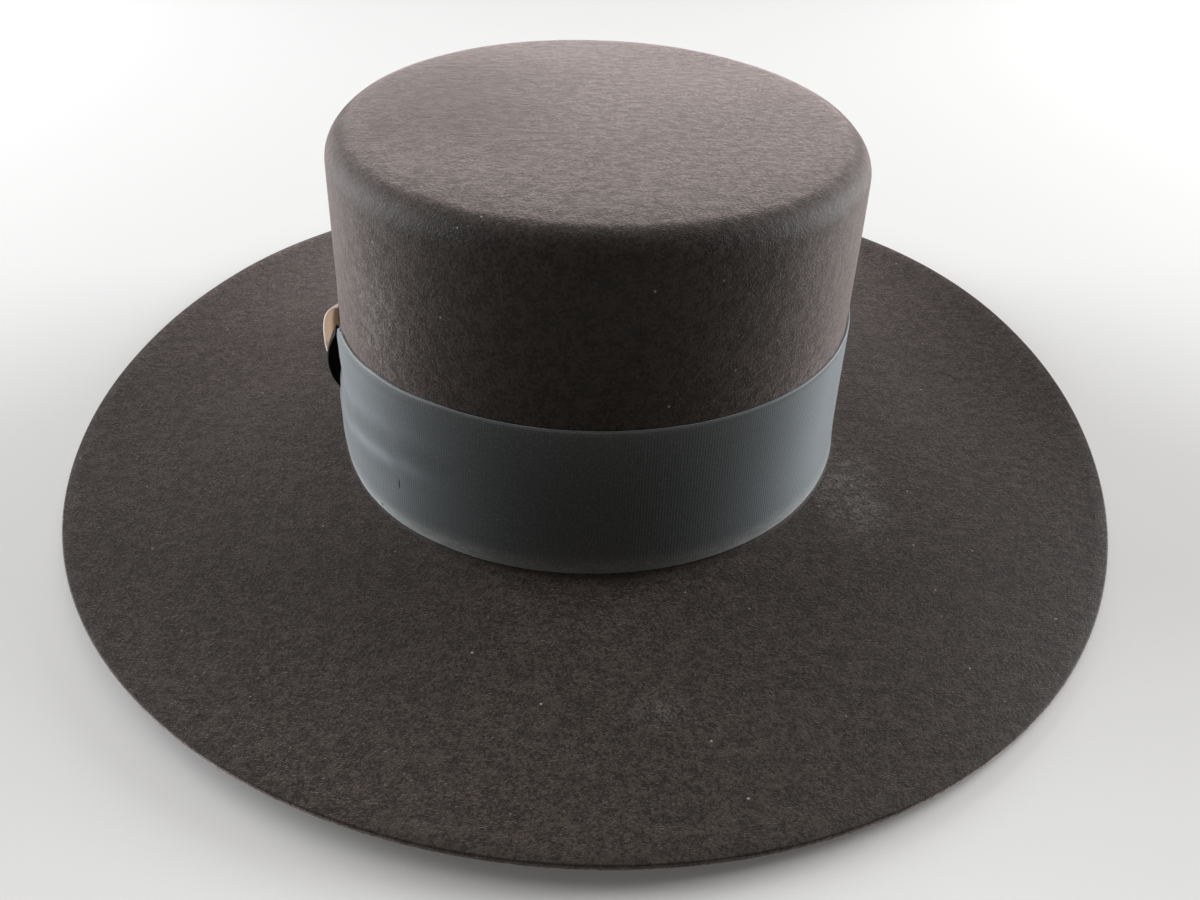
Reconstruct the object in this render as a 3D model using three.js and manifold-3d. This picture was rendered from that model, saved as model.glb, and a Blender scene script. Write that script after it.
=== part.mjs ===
// Flat brim hat of stiff felt: a flat-topped crown and a wide level brim blocked in one piece,
// a corded ribbon round the foot of the crown, and a small feather held on one side by a knot.
// Millimetres, +Z up. The hat rests on the flat underside of its brim at z = 0, with the middle
// of its plan at the origin.
//
// A place on the hat is given by three numbers:
//   turn  the way round, in radians: 0 at the front (-Y), a quarter turn at the right (+X)
//   out   millimetres outside the foot of the crown, along the plan
//   up    millimetres above the top face of the brim
import * as THREE from "three";
import { mergeVertices } from "three/addons/utils/BufferGeometryUtils.js";
import Module from "manifold-3d";

// Head oval, measured round the outside of the crown's foot
const HEAD_HALF_WIDTH = 85.5;
const HEAD_HALF_LENGTH = 99.5;
const HEAD_EGG = 0.035; // share by which the front end is wider than the middle
const HEAD_SQUARENESS = 2.06;
const EDGE_SQUARENESS = 2; // the brim's edge follows a plain ellipse

// Felt
const FELT_THICKNESS = 2;
const CROWN_HEIGHT = 104;
const CROWN_TAPER = 2.5;
const CROWN_LEAN = 2.5; // the tip stands this far to the right of the foot
const TIP_TILT = 0.9; // degrees by which the tip rises to the left
const TIP_EDGE_RADIUS = 8.5;
const BREAK_RADIUS = 2; // between the crown's foot and the brim
const FOOT_FLARE = 0.9;
const FOOT_FLARE_HEIGHT = 8;
const BRIM_WIDTH_SIDE = 88.5;
const BRIM_WIDTH_END = 96.5;
const BRIM_FLAT_WIDTH = 36; // level ring next to the crown, which the hat rests on
const EDGE_RISE = 4.3; // mean height that the brim's edge gains over its level ring
const EDGE_WAVES = [
  { crests: 2, height: 2.4, firstCrest: -58 },
  { crests: 3, height: 2.1, firstCrest: -11 },
];

// Ribbon
const RIBBON_HEIGHT = 48.4;
const RIBBON_THICKNESS = 1;
const RIBBON_STAND = 1.5; // the ribbon's lower edge above the brim
const RIBBON_GAP = 0.35;
const RIBBON_DRAW_IN = 13; // each edge of the ribbon is drawn in by this at the knot
const RIBBON_DRAW_SPREAD = 10; // degrees either side of the knot

// Knot: a black strip that bows out over the quill
const KNOT_TURN = -81.5; // degrees, its middle
const KNOT_WIDTH = 7;
const KNOT_HEIGHT = 20;
const KNOT_MIDDLE = 25.5;
const KNOT_BULGE = 4.8;
const KNOT_THICKNESS = 1;
const KNOT_FOOT = 1.5; // length of the strip that lies on the ribbon at either end

// Feather: its vane stands out over the knot's back edge, then lies back along the ribbon
const FEATHER_LENGTH = 62;
const FEATHER_HEIGHT = 31;
const FEATHER_ROOT_MIDDLE = 31;
const FEATHER_TIP_MIDDLE = 22.5;
const FEATHER_BULGE = 5.5;
const FEATHER_THICKNESS = 1;
const FEATHER_ROUNDNESS = 2.6; // 2 is a plain elliptic cup, more is fuller at its edges
const QUILL_RADIUS = 0.8;
const TRIM_GAP = 0.3;
// Outline of the vane: how far along its length, and its height and bulge there as shares
const FEATHER_OUTLINE = [
  { along: 0, height: 0.7, bulge: 1 },
  { along: 0.08, height: 0.67, bulge: 0.6 },
  { along: 0.16, height: 0.67, bulge: 0.36 },
  { along: 0.28, height: 0.71, bulge: 0.28 },
  { along: 0.44, height: 0.76, bulge: 0.26 },
  { along: 0.66, height: 0.7, bulge: 0.25 },
  { along: 0.84, height: 0.49, bulge: 0.24 },
  { along: 0.95, height: 0.26, bulge: 0.23 },
  { along: 1, height: 0.13, bulge: 0.22 },
];

// Fineness of the faceted solids
const TURN_STEPS = 72;
const TIP_ARC_STEPS = 6;
const BREAK_ARC_STEPS = 3;
const BRIM_STEPS = 7;
const WALL_STEPS = 7;
const RIBBON_STEPS = 6;

const degrees = THREE.MathUtils.degToRad;

// Point of the head oval at a turn, grown by out. A squareness of 2 is a plain ellipse.
function ovalPoint(turn, out, squareness) {
  const side = Math.sin(turn);
  const ahead = Math.cos(turn);
  const n = squareness;
  const k = (Math.abs(side) ** n + Math.abs(ahead) ** n) ** (-1 / n);
  const x = (HEAD_HALF_WIDTH + out) * side * k * (1 + HEAD_EGG * ahead * k);
  const y = -(HEAD_HALF_LENGTH + out) * ahead * k;
  return new THREE.Vector2(x, y);
}

// Point of the brim's edge: the plain head oval moved out along its normal by the brim's width
function edgePoint(turn) {
  const step = degrees(1);
  const before = ovalPoint(turn - step, 0, EDGE_SQUARENESS);
  const after = ovalPoint(turn + step, 0, EDGE_SQUARENESS);
  const along = after.sub(before).normalize();
  const normal = new THREE.Vector2(along.y, -along.x);
  const width = THREE.MathUtils.lerp(BRIM_WIDTH_SIDE, BRIM_WIDTH_END, Math.cos(turn) ** 2);
  return ovalPoint(turn, 0, EDGE_SQUARENESS).addScaledVector(normal, width);
}

// The crown's outer wall leans in with height and flares a little at its foot
function wallOut(up) {
  return FOOT_FLARE * Math.exp(-up / FOOT_FLARE_HEIGHT) - (CROWN_TAPER * up) / CROWN_HEIGHT;
}

const BRIM_START = wallOut(BREAK_RADIUS) + BREAK_RADIUS;
const TIP_ARC_UP = CROWN_HEIGHT - TIP_EDGE_RADIUS;
const TIP_FLAT_OUT = wallOut(TIP_ARC_UP) - TIP_EDGE_RADIUS;

// Height that the brim has gained at a turn, a share of the way from the crown to the edge
function brimRise(turn, share) {
  let edge = EDGE_RISE;
  for (const wave of EDGE_WAVES) {
    edge += wave.height * Math.cos(wave.crests * (turn - degrees(wave.firstCrest)));
  }
  const level = (BRIM_FLAT_WIDTH - BRIM_START) / (BRIM_WIDTH_SIDE - BRIM_START);
  const past = Math.max(0, share - level) / (1 - level);
  return edge * past ** 2;
}

// A point on or near the crown in the hat's own frame. Inside the tip's flat the ovals shrink
// towards the middle.
function onCrown(turn, out, up) {
  const flat = ovalPoint(turn, Math.max(out, TIP_FLAT_OUT), HEAD_SQUARENESS);
  if (out < TIP_FLAT_OUT) {
    flat.multiplyScalar((HEAD_HALF_WIDTH + out) / (HEAD_HALF_WIDTH + TIP_FLAT_OUT));
  }
  const share = Math.max(0, up) / CROWN_HEIGHT;
  const tilt = -Math.tan(degrees(TIP_TILT)) * flat.x;
  return new THREE.Vector3(flat.x + CROWN_LEAN * share, flat.y, FELT_THICKNESS + up + tilt * share);
}

// A point of the brim in the hat's own frame, with out as it is at the brim's narrowest
function onBrim(turn, out, up) {
  const share = (out - BRIM_START) / (BRIM_WIDTH_SIDE - BRIM_START);
  const start = ovalPoint(turn, BRIM_START, HEAD_SQUARENESS);
  const flat = start.lerp(edgePoint(turn), share);
  return new THREE.Vector3(flat.x, flat.y, FELT_THICKNESS + up + brimRise(turn, share));
}

// A geometry with its shared vertices merged and only positions left
function merged(geometry) {
  geometry.deleteAttribute("normal");
  geometry.deleteAttribute("uv");
  return mergeVertices(geometry, 1e-3);
}

// A ring or shell round the hat: its profile of (out, up) points, down the outside and up the
// inside, goes round the head oval, and carry gives each of its points a place
function aroundHead(profile, carry) {
  const upwards = profile.toReversed();
  const lathe = new THREE.LatheGeometry(
    upwards.map((p) => new THREE.Vector2(HEAD_HALF_WIDTH + p.x, p.y)),
    TURN_STEPS,
  );
  const position = lathe.getAttribute("position");
  for (let i = 0; i < position.count; i++) {
    const x = position.getX(i);
    const z = position.getZ(i);
    const spot = carry(Math.atan2(x, z), Math.hypot(x, z) - HEAD_HALF_WIDTH, position.getY(i));
    position.setXYZ(i, spot.x, spot.y, spot.z);
  }
  return merged(lathe);
}

// A curved sheet: a box whose three sides run across, along and through it, carried to its place
function sheet(alongSteps, acrossSteps, carry) {
  const box = new THREE.BoxGeometry(1, 1, 1, acrossSteps, alongSteps, 1).translate(0.5, 0.5, 0.5);
  const position = box.getAttribute("position");
  for (let i = 0; i < position.count; i++) {
    const spot = carry(position.getY(i), position.getX(i), position.getZ(i));
    position.setXYZ(i, spot.x, spot.y, spot.z);
  }
  return merged(box);
}

function arc(centre, radius, from, to, steps) {
  const curve = new THREE.EllipseCurve(
    centre.x,
    centre.y,
    radius,
    radius,
    degrees(from),
    degrees(to),
    to < from,
  );
  return curve.getPoints(steps);
}

// Evenly spaced numbers between two ends, both ends left out
function between(from, to, steps) {
  const values = [];
  for (let i = 1; i < steps; i++) {
    values.push(THREE.MathUtils.lerp(from, to, i / steps));
  }
  return values;
}

// Crown and brim. The profile runs down the outside from the tip's middle, out over the brim,
// round its edge, back under it and up the inside.
function feltBody() {
  const point = (out, up) => new THREE.Vector2(out, up);
  const tipCentre = point(TIP_FLAT_OUT, TIP_ARC_UP);
  const breakCentre = point(BRIM_START, BREAK_RADIUS);
  const edgeCentre = point(BRIM_WIDTH_SIDE - FELT_THICKNESS / 2, -FELT_THICKNESS / 2);
  const wallUps = between(BREAK_RADIUS, TIP_ARC_UP, WALL_STEPS).map(
    (up) => (up * up) / TIP_ARC_UP + BREAK_RADIUS,
  );
  const brimOuts = between(BRIM_START, edgeCentre.x, BRIM_STEPS);
  const outside = [
    point(-HEAD_HALF_WIDTH, CROWN_HEIGHT),
    ...arc(tipCentre, TIP_EDGE_RADIUS, 90, 0, TIP_ARC_STEPS),
    ...wallUps.toReversed().map((up) => point(wallOut(up), up)),
    ...arc(breakCentre, BREAK_RADIUS, 180, 270, BREAK_ARC_STEPS),
    ...brimOuts.map((out) => point(out, 0)),
  ];
  const edge = arc(edgeCentre, FELT_THICKNESS / 2, 90, -90, 4);
  const inside = [
    ...brimOuts.toReversed().map((out) => point(out, -FELT_THICKNESS)),
    ...arc(breakCentre, BREAK_RADIUS + FELT_THICKNESS, 270, 180, BREAK_ARC_STEPS),
    ...wallUps.map((up) => point(wallOut(up) - FELT_THICKNESS, up)),
    ...arc(tipCentre, TIP_EDGE_RADIUS - FELT_THICKNESS, 0, 90, TIP_ARC_STEPS),
    point(-HEAD_HALF_WIDTH, CROWN_HEIGHT - FELT_THICKNESS),
  ];
  const onFelt = (turn, out, up) => (out > BRIM_START ? onBrim : onCrown)(turn, out, up);
  return aroundHead([...outside, ...edge, ...inside], onFelt);
}

// The ribbon's edges draw in towards the knot, which gathers them
function onRibbon(turn, out, up) {
  const middle = RIBBON_STAND + RIBBON_HEIGHT / 2;
  const away = (turn - degrees(KNOT_TURN)) / degrees(RIBBON_DRAW_SPREAD);
  const drawn = RIBBON_DRAW_IN * Math.exp(-(away ** 2));
  const at = middle + (up - middle) * (1 - (2 * drawn) / RIBBON_HEIGHT);
  return onCrown(turn, out - wallOut(up) + wallOut(at), at);
}

// The ribbon follows the crown's wall, clear of the break
function ribbonBand() {
  const ups = [
    RIBBON_STAND,
    ...between(RIBBON_STAND, RIBBON_STAND + RIBBON_HEIGHT, RIBBON_STEPS),
    RIBBON_STAND + RIBBON_HEIGHT,
  ];
  const inner = ups.map((up) => new THREE.Vector2(wallOut(up) + RIBBON_GAP, up));
  const outer = ups.map((up) => new THREE.Vector2(wallOut(up) + RIBBON_GAP + RIBBON_THICKNESS, up));
  return aroundHead([...outer.toReversed(), ...inner, outer.at(-1)], onRibbon);
}

// Where the trim stands: just off the ribbon's outer face
function trimOut(up) {
  return wallOut(up) + RIBBON_GAP + RIBBON_THICKNESS + TRIM_GAP;
}

// Turn that a length along the ribbon's side spans
function turnOf(length) {
  return length / HEAD_HALF_LENGTH;
}

// The knot's strip bows out between its two ends, which lie on the ribbon
function ribbonKnot() {
  return sheet(3, 12, (along, across, through) => {
    const turn = degrees(KNOT_TURN) - turnOf(KNOT_WIDTH) * (along - 0.5);
    const s = 2 * across - 1;
    const half = KNOT_HEIGHT / 2 - KNOT_FOOT * (1 - through);
    const bulge = KNOT_BULGE - KNOT_THICKNESS * (1 - through);
    const up = KNOT_MIDDLE + half * s;
    return onCrown(turn, trimOut(up) + bulge * (1 - s * s), up);
  });
}

// Height and bulge of the vane, as shares, part of the way along it
function vaneShares(along) {
  const next = Math.max(
    1,
    FEATHER_OUTLINE.findIndex((row) => row.along >= along),
  );
  const a = FEATHER_OUTLINE[next - 1];
  const b = FEATHER_OUTLINE[next];
  const t = (along - a.along) / (b.along - a.along);
  return {
    height: THREE.MathUtils.lerp(a.height, b.height, t),
    bulge: THREE.MathUtils.lerp(a.bulge, b.bulge, t),
  };
}

const FEATHER_ROOT_TURN = degrees(KNOT_TURN) - turnOf(KNOT_WIDTH / 2 + TRIM_GAP * 2);

function vanePoint(along, across, through) {
  const shares = vaneShares(along);
  const skin = FEATHER_THICKNESS * (1 - through);
  const half = (shares.height * FEATHER_HEIGHT) / 2 - skin;
  const bulge = shares.bulge * FEATHER_BULGE - skin;
  const angle = Math.PI * across;
  const power = 2 / FEATHER_ROUNDNESS;
  const lift = Math.sin(angle) ** power;
  const rise = -Math.sign(Math.cos(angle)) * Math.abs(Math.cos(angle)) ** power;
  const up = THREE.MathUtils.lerp(FEATHER_ROOT_MIDDLE, FEATHER_TIP_MIDDLE, along) + half * rise;
  const turn = FEATHER_ROOT_TURN - turnOf(FEATHER_LENGTH * along);
  return onCrown(turn, trimOut(up) + bulge * lift, up);
}

// The quill starts inside the knot and climbs to the middle line of the vane
function quill() {
  const start = trimOut(KNOT_MIDDLE) + QUILL_RADIUS;
  const knotTurn = degrees(KNOT_TURN);
  const route = [
    onCrown(knotTurn + turnOf(KNOT_WIDTH / 2 - KNOT_THICKNESS), start, KNOT_MIDDLE),
    onCrown(knotTurn - turnOf(KNOT_WIDTH / 2), start + QUILL_RADIUS / 2, KNOT_MIDDLE),
    vanePoint(0.1, 0.5, 0),
    vanePoint(0.2, 0.5, 0.3),
  ];
  const section = new THREE.Shape().absarc(0, 0, QUILL_RADIUS, 0, 2 * Math.PI);
  return merged(
    new THREE.ExtrudeGeometry(section, {
      steps: 12,
      curveSegments: 4,
      bevelEnabled: false,
      extrudePath: new THREE.CatmullRomCurve3(route),
    }),
  );
}

const wasm = await Module();
wasm.setup();

function solidOf(geometry) {
  const mesh = new wasm.Mesh({
    numProp: 3,
    vertProperties: new Float32Array(geometry.getAttribute("position").array),
    triVerts: new Uint32Array(geometry.index.array),
  });
  return new wasm.Manifold(mesh);
}

function geometryOf(solid) {
  const mesh = solid.getMesh();
  return new THREE.BufferGeometry()
    .setAttribute("position", new THREE.BufferAttribute(mesh.vertProperties, 3))
    .setIndex(new THREE.BufferAttribute(mesh.triVerts, 1));
}

function tanFeather() {
  const vane = sheet(14, 12, vanePoint);
  return geometryOf(solidOf(vane).add(solidOf(quill())));
}

const MATERIALS = {
  felt: { color: 0x3f3938, roughness: 0.95, metalness: 0 },
  ribbon: { color: 0x2f3534, roughness: 0.7, metalness: 0 },
  knot: { color: 0x0b0b0b, roughness: 0.8, metalness: 0 },
  feather: { color: 0xb39a86, roughness: 0.6, metalness: 0 },
};

const hat = new THREE.Group();

function addPiece(name, geometry, material) {
  const mesh = new THREE.Mesh(geometry, new THREE.MeshStandardMaterial(material));
  mesh.name = name;
  hat.add(mesh);
}

addPiece("felt_body", feltBody(), MATERIALS.felt);
addPiece("ribbon_band", ribbonBand(), MATERIALS.ribbon);
addPiece("ribbon_knot", ribbonKnot(), MATERIALS.knot);
addPiece("tan_feather", tanFeather(), MATERIALS.feather);

export default hat;
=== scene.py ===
# %% [markdown]
# # A flat brim hat, dressed
# The imported model gives the hat its size and place. This lesson builds smooth, detailed pieces
# over its four solids: the felt, the ribbon, the knot and the feather. The fixed frame is loaded
# first.

# %% Load the imported model
import math

import bpy
from mathutils import Matrix, Vector, noise


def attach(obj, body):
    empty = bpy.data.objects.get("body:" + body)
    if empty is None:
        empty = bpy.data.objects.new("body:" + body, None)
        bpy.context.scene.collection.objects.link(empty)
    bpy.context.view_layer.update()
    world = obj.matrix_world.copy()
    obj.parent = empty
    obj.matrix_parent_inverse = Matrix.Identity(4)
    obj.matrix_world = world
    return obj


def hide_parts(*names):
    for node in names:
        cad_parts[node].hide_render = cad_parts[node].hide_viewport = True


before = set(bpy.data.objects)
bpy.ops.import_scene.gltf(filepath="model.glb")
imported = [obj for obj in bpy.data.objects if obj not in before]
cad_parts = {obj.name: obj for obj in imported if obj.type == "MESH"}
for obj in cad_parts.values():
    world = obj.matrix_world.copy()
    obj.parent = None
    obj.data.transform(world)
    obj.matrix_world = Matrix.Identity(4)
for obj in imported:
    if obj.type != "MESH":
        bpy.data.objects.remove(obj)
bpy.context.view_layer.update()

print("solids:", sorted(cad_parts))

# %% [markdown]
# ## Camera
# The eye stands in front of the hat and a little to its left, above the brim, and looks down at
# it. A wide lens this close makes the near brim large and the crown's foot narrower than its
# tip. The camera is made from its place and the direction it looks in, with a small roll.

# %% Camera
MM = 0.001
EYE = Vector((-14.544, -316.394, 201.937)) * MM
LOOK = Vector((0.04959, 0.81189, -0.58170)).normalized()
ROLL = 0.016

level_right = LOOK.cross(Vector((0, 0, 1))).normalized()
level_up = level_right.cross(LOOK)
eye_right = level_right * math.cos(ROLL) + level_up * math.sin(ROLL)
eye_up = level_up * math.cos(ROLL) - level_right * math.sin(ROLL)
turned = Matrix((eye_right, eye_up, -LOOK)).transposed().to_4x4()

bpy.ops.object.camera_add()
camera = bpy.context.object
camera.name = "photo_camera"
camera.matrix_world = Matrix.Translation(EYE) @ turned
camera.data.sensor_width = 36
camera.data.lens = 30
camera.data.clip_start = 0.01
bpy.context.scene.camera = camera
print("camera looks down by", round(math.degrees(math.asin(-LOOK.z)), 1), "degrees")

# %% [markdown]
# ## Floor and light
# A pale floor throws soft light back on the dark felt. Wide lamps stand for a studio: one overhead,
# one on each side, low enough to graze the crown and bring out the nap, and two weak ones behind
# and in front. They are area lamps, because a small lamp would draw hard shadows.

# %% Pale floor
FLOOR_SIDE = 2.8
bpy.ops.object.select_all(action="DESELECT")
bpy.ops.mesh.primitive_plane_add(size=FLOOR_SIDE)
floor = bpy.context.object
floor.name = "studio_floor"
floor_paint = bpy.data.materials.new("pale floor")
floor_paint.use_nodes = True
floor_shader = floor_paint.node_tree.nodes["Principled BSDF"]
floor_shader.inputs["Base Color"].default_value = (0.80, 0.79, 0.78, 1)
floor_shader.inputs["Roughness"].default_value = 0.9
floor_shader.inputs["Specular IOR Level"].default_value = 0.1
floor.data.materials.append(floor_paint)
print("floor covers", tuple(round(side, 1) for side in floor.dimensions), "metres")

# %% Soft lamps
def soft_lamp(name, place, width, power, colour):
    """A square area lamp that faces the crown."""
    bpy.ops.object.light_add(type="AREA", location=place)
    lamp = bpy.context.object
    lamp.name = name
    lamp.data.size = width
    lamp.data.energy = power
    lamp.data.color = colour
    towards = Vector((0, 0, 0.06)) - Vector(place)
    lamp.rotation_euler = towards.to_track_quat("-Z", "Y").to_euler()
    return lamp


soft_lamp("overhead_lamp", (0.0, 0.35, 1.5), 1.6, 7.0, (1.0, 0.98, 0.96))
soft_lamp("left_lamp", (-1.5, 0.55, 0.50), 1.2, 40, (0.96, 0.98, 1.0))
soft_lamp("right_lamp", (1.5, 0.45, 0.50), 1.1, 36, (0.97, 0.985, 1.0))
soft_lamp("back_lamp", (0.0, 1.9, 0.9), 1.6, 1.5, (1.0, 1.0, 1.0))
soft_lamp("front_lamp", (-0.2, -1.5, 1.2), 1.2, 4.6, (1.0, 0.98, 0.96))

SURROUND_LIGHT, SURROUND_EXTRA_SEEN = 0.08, 0.74
surround = bpy.data.worlds.new("pale surround")
surround.use_nodes = True
sky = surround.node_tree.nodes["Background"]
sky.inputs["Color"].default_value = (0.97, 0.98, 1.0, 1)
seen = surround.node_tree.nodes.new("ShaderNodeLightPath")
strength = surround.node_tree.nodes.new("ShaderNodeMath")
strength.operation = "MULTIPLY_ADD"
strength.inputs[1].default_value = SURROUND_EXTRA_SEEN
strength.inputs[2].default_value = SURROUND_LIGHT
surround.node_tree.links.new(seen.outputs["Is Camera Ray"], strength.inputs[0])
surround.node_tree.links.new(strength.outputs[0], sky.inputs["Strength"])
bpy.context.scene.world = surround
bpy.context.scene.view_settings.view_transform = "Standard"

# %% [markdown]
# ## The shape of the head and the brim
# A hat is blocked over an oval, so every point of it is told by three numbers: how far round it
# is, how far out from the crown's foot, and how high above the brim. The same few rules that
# shaped the solids turn these numbers into a place, so each new piece fits without any moving.

# %% Sizes in millimetres
HEAD_HALF_WIDTH, HEAD_HALF_LENGTH = 85.5, 99.5
HEAD_EGG, HEAD_SQUARENESS = 0.035, 2.06
FELT = 2.0
CROWN_HEIGHT, CROWN_TAPER, CROWN_LEAN = 104.0, 2.5, 2.5
TIP_SLOPE = math.tan(math.radians(0.9))
TIP_EDGE_RADIUS, BREAK_RADIUS = 8.5, 2.0
FOOT_FLARE, FOOT_FLARE_HEIGHT = 0.9, 8.0
BRIM_SIDE, BRIM_END, BRIM_LEVEL = 88.5, 96.5, 36.0
EDGE_RISE = 4.3
EDGE_WAVES = [(2, 2.4, -58), (3, 2.1, -11)]
print("crown is", CROWN_HEIGHT, "mm high and the brim", BRIM_SIDE, "to", BRIM_END, "mm wide")


# %% Rules of the shape
def mix(a, b, share):
    return a + (b - a) * share


def eased(value, low, high):
    """0 below low, 1 above high, and a smooth climb between them."""
    t = min(1, max(0, (value - low) / (high - low)))
    return t * t * (3 - 2 * t)


def oval_point(turn, out, squareness=HEAD_SQUARENESS):
    side, ahead = math.sin(turn), math.cos(turn)
    k = (abs(side) ** squareness + abs(ahead) ** squareness) ** (-1 / squareness)
    x = (HEAD_HALF_WIDTH + out) * side * k * (1 + HEAD_EGG * ahead * k)
    return Vector((x, -(HEAD_HALF_LENGTH + out) * ahead * k))


def edge_point(turn):
    """The brim's edge stands off the plain oval along its normal."""
    step = math.radians(1)
    along = oval_point(turn + step, 0, 2) - oval_point(turn - step, 0, 2)
    normal = Vector((along.y, -along.x)).normalized()
    return oval_point(turn, 0, 2) + normal * mix(BRIM_SIDE, BRIM_END, math.cos(turn) ** 2)


def wall_out(up):
    """How far the crown's wall stands outside its foot."""
    return FOOT_FLARE * math.exp(-up / FOOT_FLARE_HEIGHT) - CROWN_TAPER * up / CROWN_HEIGHT


BRIM_START = wall_out(BREAK_RADIUS) + BREAK_RADIUS
TIP_ARC_UP = CROWN_HEIGHT - TIP_EDGE_RADIUS
TIP_FLAT_OUT = wall_out(TIP_ARC_UP) - TIP_EDGE_RADIUS


def brim_rise(turn, share):
    edge = EDGE_RISE
    for crests, height, first in EDGE_WAVES:
        edge += height * math.cos(crests * (turn - math.radians(first)))
    level = (BRIM_LEVEL - BRIM_START) / (BRIM_SIDE - BRIM_START)
    return edge * (max(0, share - level) / (1 - level)) ** 2


def on_crown(turn, out, up):
    flat = oval_point(turn, max(out, TIP_FLAT_OUT))
    if out < TIP_FLAT_OUT:
        flat = flat * (HEAD_HALF_WIDTH + out) / (HEAD_HALF_WIDTH + TIP_FLAT_OUT)
    share = max(0, up) / CROWN_HEIGHT
    lean = CROWN_LEAN * share
    return Vector((flat.x + lean, flat.y, FELT + up - TIP_SLOPE * flat.x * share)) * MM


def on_brim(turn, out, up):
    share = (out - BRIM_START) / (BRIM_SIDE - BRIM_START)
    flat = oval_point(turn, BRIM_START).lerp(edge_point(turn), share)
    return Vector((flat.x, flat.y, FELT + up + brim_rise(turn, share))) * MM


print("left of the brim is at", [round(v, 3) for v in on_brim(-math.pi / 2, BRIM_SIDE, 0)])

# %% [markdown]
# ## Tools for a turned piece
# A potter's way suits a hat: a section is drawn once, spun round the upright axis and then
# pressed from a circle into the head's oval. A section is drawn by pulling one point along, and
# the pressing moves every point by the rules above.


# %% Helpers for turned pieces
SMOOTH_BELOW = math.radians(40)
SAME_POINT = 0.000005
CORNER = 0.3


def nothing_selected():
    bpy.ops.object.select_all(action="DESELECT")


def all_in_edit_mode():
    bpy.ops.object.mode_set(mode="EDIT")
    bpy.ops.mesh.select_all(action="SELECT")


def drawn_section(name, points):
    """A line of edges through (out, up) points, pulled along from a single point."""
    nothing_selected()
    first = Vector((HEAD_HALF_WIDTH + points[0][0], 0, FELT + points[0][1])) * MM
    bpy.ops.mesh.primitive_plane_add(size=MM, location=first)
    piece = bpy.context.object
    piece.name = name
    all_in_edit_mode()
    bpy.ops.mesh.merge(type="CENTER")
    for (out_a, up_a), (out_b, up_b) in zip(points[:-1], points[1:]):
        pull = Vector((out_b - out_a, 0, up_b - up_a)) * MM
        bpy.ops.mesh.extrude_vertices_move(TRANSFORM_OT_translate={"value": pull})
    bpy.ops.object.mode_set(mode="OBJECT")
    bpy.ops.object.transform_apply(location=True, rotation=True, scale=True)
    return piece


def spun(piece, steps):
    """Spins the section round the upright axis and closes its seam and poles."""
    all_in_edit_mode()
    bpy.ops.mesh.spin(steps=steps, angle=math.tau, center=(0, 0, 0), axis=(0, 0, 1))
    bpy.ops.mesh.select_all(action="SELECT")
    bpy.ops.mesh.remove_doubles(threshold=SAME_POINT)
    bpy.ops.mesh.normals_make_consistent(inside=False)
    bpy.ops.object.mode_set(mode="OBJECT")
    return piece


def pressed(piece, rule):
    """Carries each point of a spun piece to its place, and returns its three numbers."""
    told = []
    for vertex in piece.data.vertices:
        x, y, z = vertex.co / MM
        told.append((math.atan2(x, -y), math.hypot(x, y) - HEAD_HALF_WIDTH, z - FELT))
        vertex.co = rule(*told[-1])
    piece.data.update()
    return told


def finished(piece, node):
    """Smooth shading, the body it rides on, and hiding the solid it stands for."""
    nothing_selected()
    piece.select_set(True)
    bpy.context.view_layer.objects.active = piece
    bpy.ops.object.shade_smooth_by_angle(angle=SMOOTH_BELOW)
    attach(piece, "root")
    if node:
        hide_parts(node)
    low, high = piece.data.vertices[0].co.copy(), piece.data.vertices[0].co.copy()
    for vertex in piece.data.vertices:
        low = Vector(map(min, low, vertex.co))
        high = Vector(map(max, high, vertex.co))
    sides = [round(v * 1000, 1) for v in high - low]
    print(piece.name, len(piece.data.polygons), "faces,", sides, "mm")


# %% [markdown]
# ## Crown and brim
# The real hat is one blocked felt, 2 mm thick: a flat tip with a soft edge, an upright wall that
# leans in slightly, a tight break at its foot, and a wide brim cut off square. It could be a
# subdivided box, but a spun section keeps the wall's thickness even everywhere, and its many
# points let the felt be a little uneven, as pressed felt is.


# %% Section of the felt
def arc(out, up, radius, start, end, steps):
    turns = [math.radians(mix(start, end, i / steps)) for i in range(steps + 1)]
    return [(out + radius * math.cos(t), up + radius * math.sin(t)) for t in turns]


def evenly(start, end, steps):
    return [mix(start, end, i / steps) for i in range(1, steps)]


WALL_TOP, WALL_FOOT = TIP_ARC_UP, BREAK_RADIUS
CUT_RADIUS = 0.5
tip_outs = evenly(-HEAD_HALF_WIDTH, TIP_FLAT_OUT, 12)
wall_ups = evenly(WALL_TOP, WALL_FOOT, 34)
brim_outs = evenly(BRIM_START, BRIM_SIDE - CUT_RADIUS, 26)

felt_section = [(-HEAD_HALF_WIDTH, CROWN_HEIGHT)]
felt_section += [(out, CROWN_HEIGHT) for out in tip_outs]
felt_section += arc(TIP_FLAT_OUT, TIP_ARC_UP, TIP_EDGE_RADIUS, 90, 0, 12)
felt_section += [(wall_out(up), up) for up in wall_ups]
felt_section += arc(BRIM_START, BREAK_RADIUS, BREAK_RADIUS, 180, 270, 6)
felt_section += [(out, 0) for out in brim_outs]
felt_section += arc(BRIM_SIDE - CUT_RADIUS, -CUT_RADIUS, CUT_RADIUS, 90, 0, 3)
felt_section += arc(BRIM_SIDE - CUT_RADIUS, CUT_RADIUS - FELT, CUT_RADIUS, 0, -90, 3)
felt_section += [(out, -FELT) for out in reversed(brim_outs)]
felt_section += arc(BRIM_START, BREAK_RADIUS, BREAK_RADIUS + FELT, 270, 180, 6)
felt_section += [(wall_out(up) - FELT, up) for up in reversed(wall_ups)]
felt_section += arc(TIP_FLAT_OUT, TIP_ARC_UP, TIP_EDGE_RADIUS - FELT, 0, 90, 10)
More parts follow.
